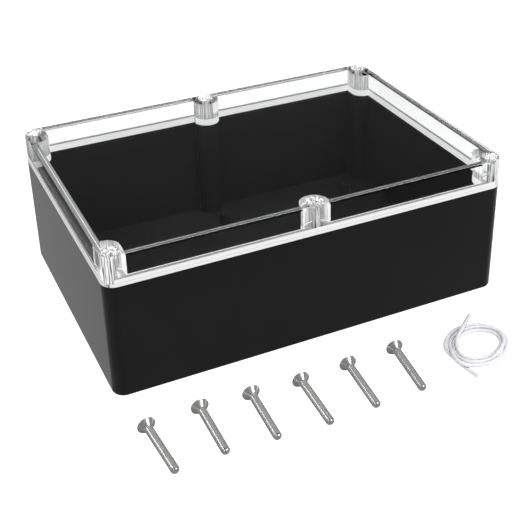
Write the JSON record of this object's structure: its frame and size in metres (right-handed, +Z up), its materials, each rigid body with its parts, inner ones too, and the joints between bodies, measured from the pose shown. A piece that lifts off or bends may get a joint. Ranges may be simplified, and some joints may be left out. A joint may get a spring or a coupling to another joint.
{
  "type": "plastic project box",
  "caption": "Rectangular plastic enclosure with a black base, a clear screw-down lid, and the lid's screws and seal cord lying beside it.",
  "frame": {"origin": "middle of the base's flat underside, on the surface that the box stands on", "axes": "+X along the long side to the right, +Y to the back, +Z up through the lid; the long side at the front faces -Y"},
  "size_m": [0.263, 0.2576, 0.095],
  "materials": {
    "base_plastic": "satin black ABS",
    "lid_clear": "clear polished polycarbonate",
    "insert_brass": "turned and knurled",
    "screw_steel": "zinc-plated or stainless steel",
    "seal_cord": "translucent white silicone"
  },
  "bodies": {
    "root": {"base": "base_plastic", "lid": "lid_clear", "insert_front_left": "insert_brass", "insert_front_middle": "insert_brass", "insert_front_right": "insert_brass", "insert_back_left": "insert_brass", "insert_back_middle": "insert_brass", "insert_back_right": "insert_brass", "lid_screw_1": "screw_steel", "lid_screw_2": "screw_steel", "lid_screw_3": "screw_steel", "lid_screw_4": "screw_steel", "lid_screw_5": "screw_steel", "lid_screw_6": "screw_steel", "seal_coil": "seal_cord", "seal_end_back": "seal_cord", "seal_end_front": "seal_cord"}
  },
  "joints": []
}
